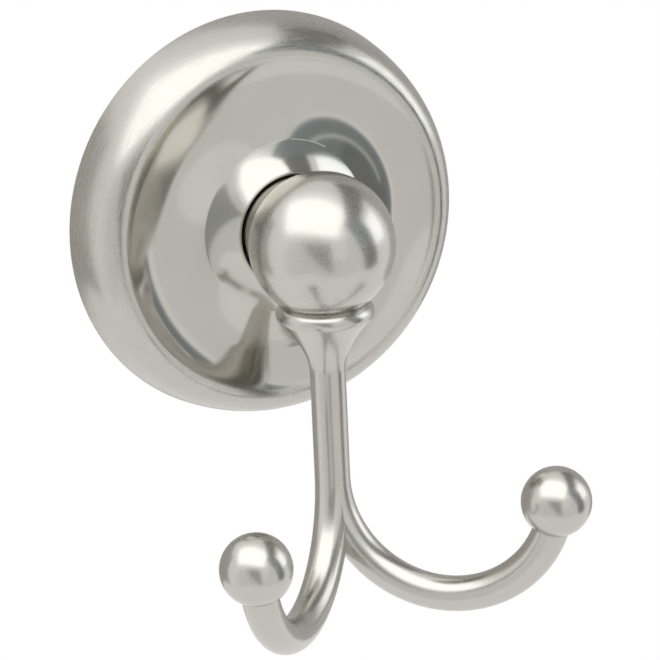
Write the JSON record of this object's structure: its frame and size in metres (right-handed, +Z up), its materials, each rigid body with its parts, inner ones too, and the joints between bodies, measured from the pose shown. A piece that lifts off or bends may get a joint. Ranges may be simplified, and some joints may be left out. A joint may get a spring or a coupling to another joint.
{
  "type": "double robe hook",
  "caption": "Wall-mounted robe hook: round rolled-rim rosette with a trumpet neck, ball head, beaded collar and a shank that splits into ball-tipped arms.",
  "frame": {"origin": "middle of the bracket's back face, on the wall plane and on the rosette's axis", "axes": "+Z up, +X to the right of a viewer facing the wall, +Y into the wall, so the hook stands out along -Y"},
  "size_m": [0.07, 0.0574, 0.0982],
  "materials": {
    "satin_nickel_plate": "satin nickel plate on a zinc die casting, polished on the trumpet neck",
    "satin_nickel_hook": "satin nickel plate on a zinc die casting",
    "plated_steel": "bright zinc-plated steel screws",
    "bracket_steel": "zinc-plated pressed steel"
  },
  "bodies": {
    "root": {"backplate": "satin_nickel_plate", "hook": "satin_nickel_hook", "hook_screw": "plated_steel", "lock_washer": "plated_steel", "wall_bracket": "bracket_steel", "set_screw": "plated_steel"}
  },
  "joints": []
}
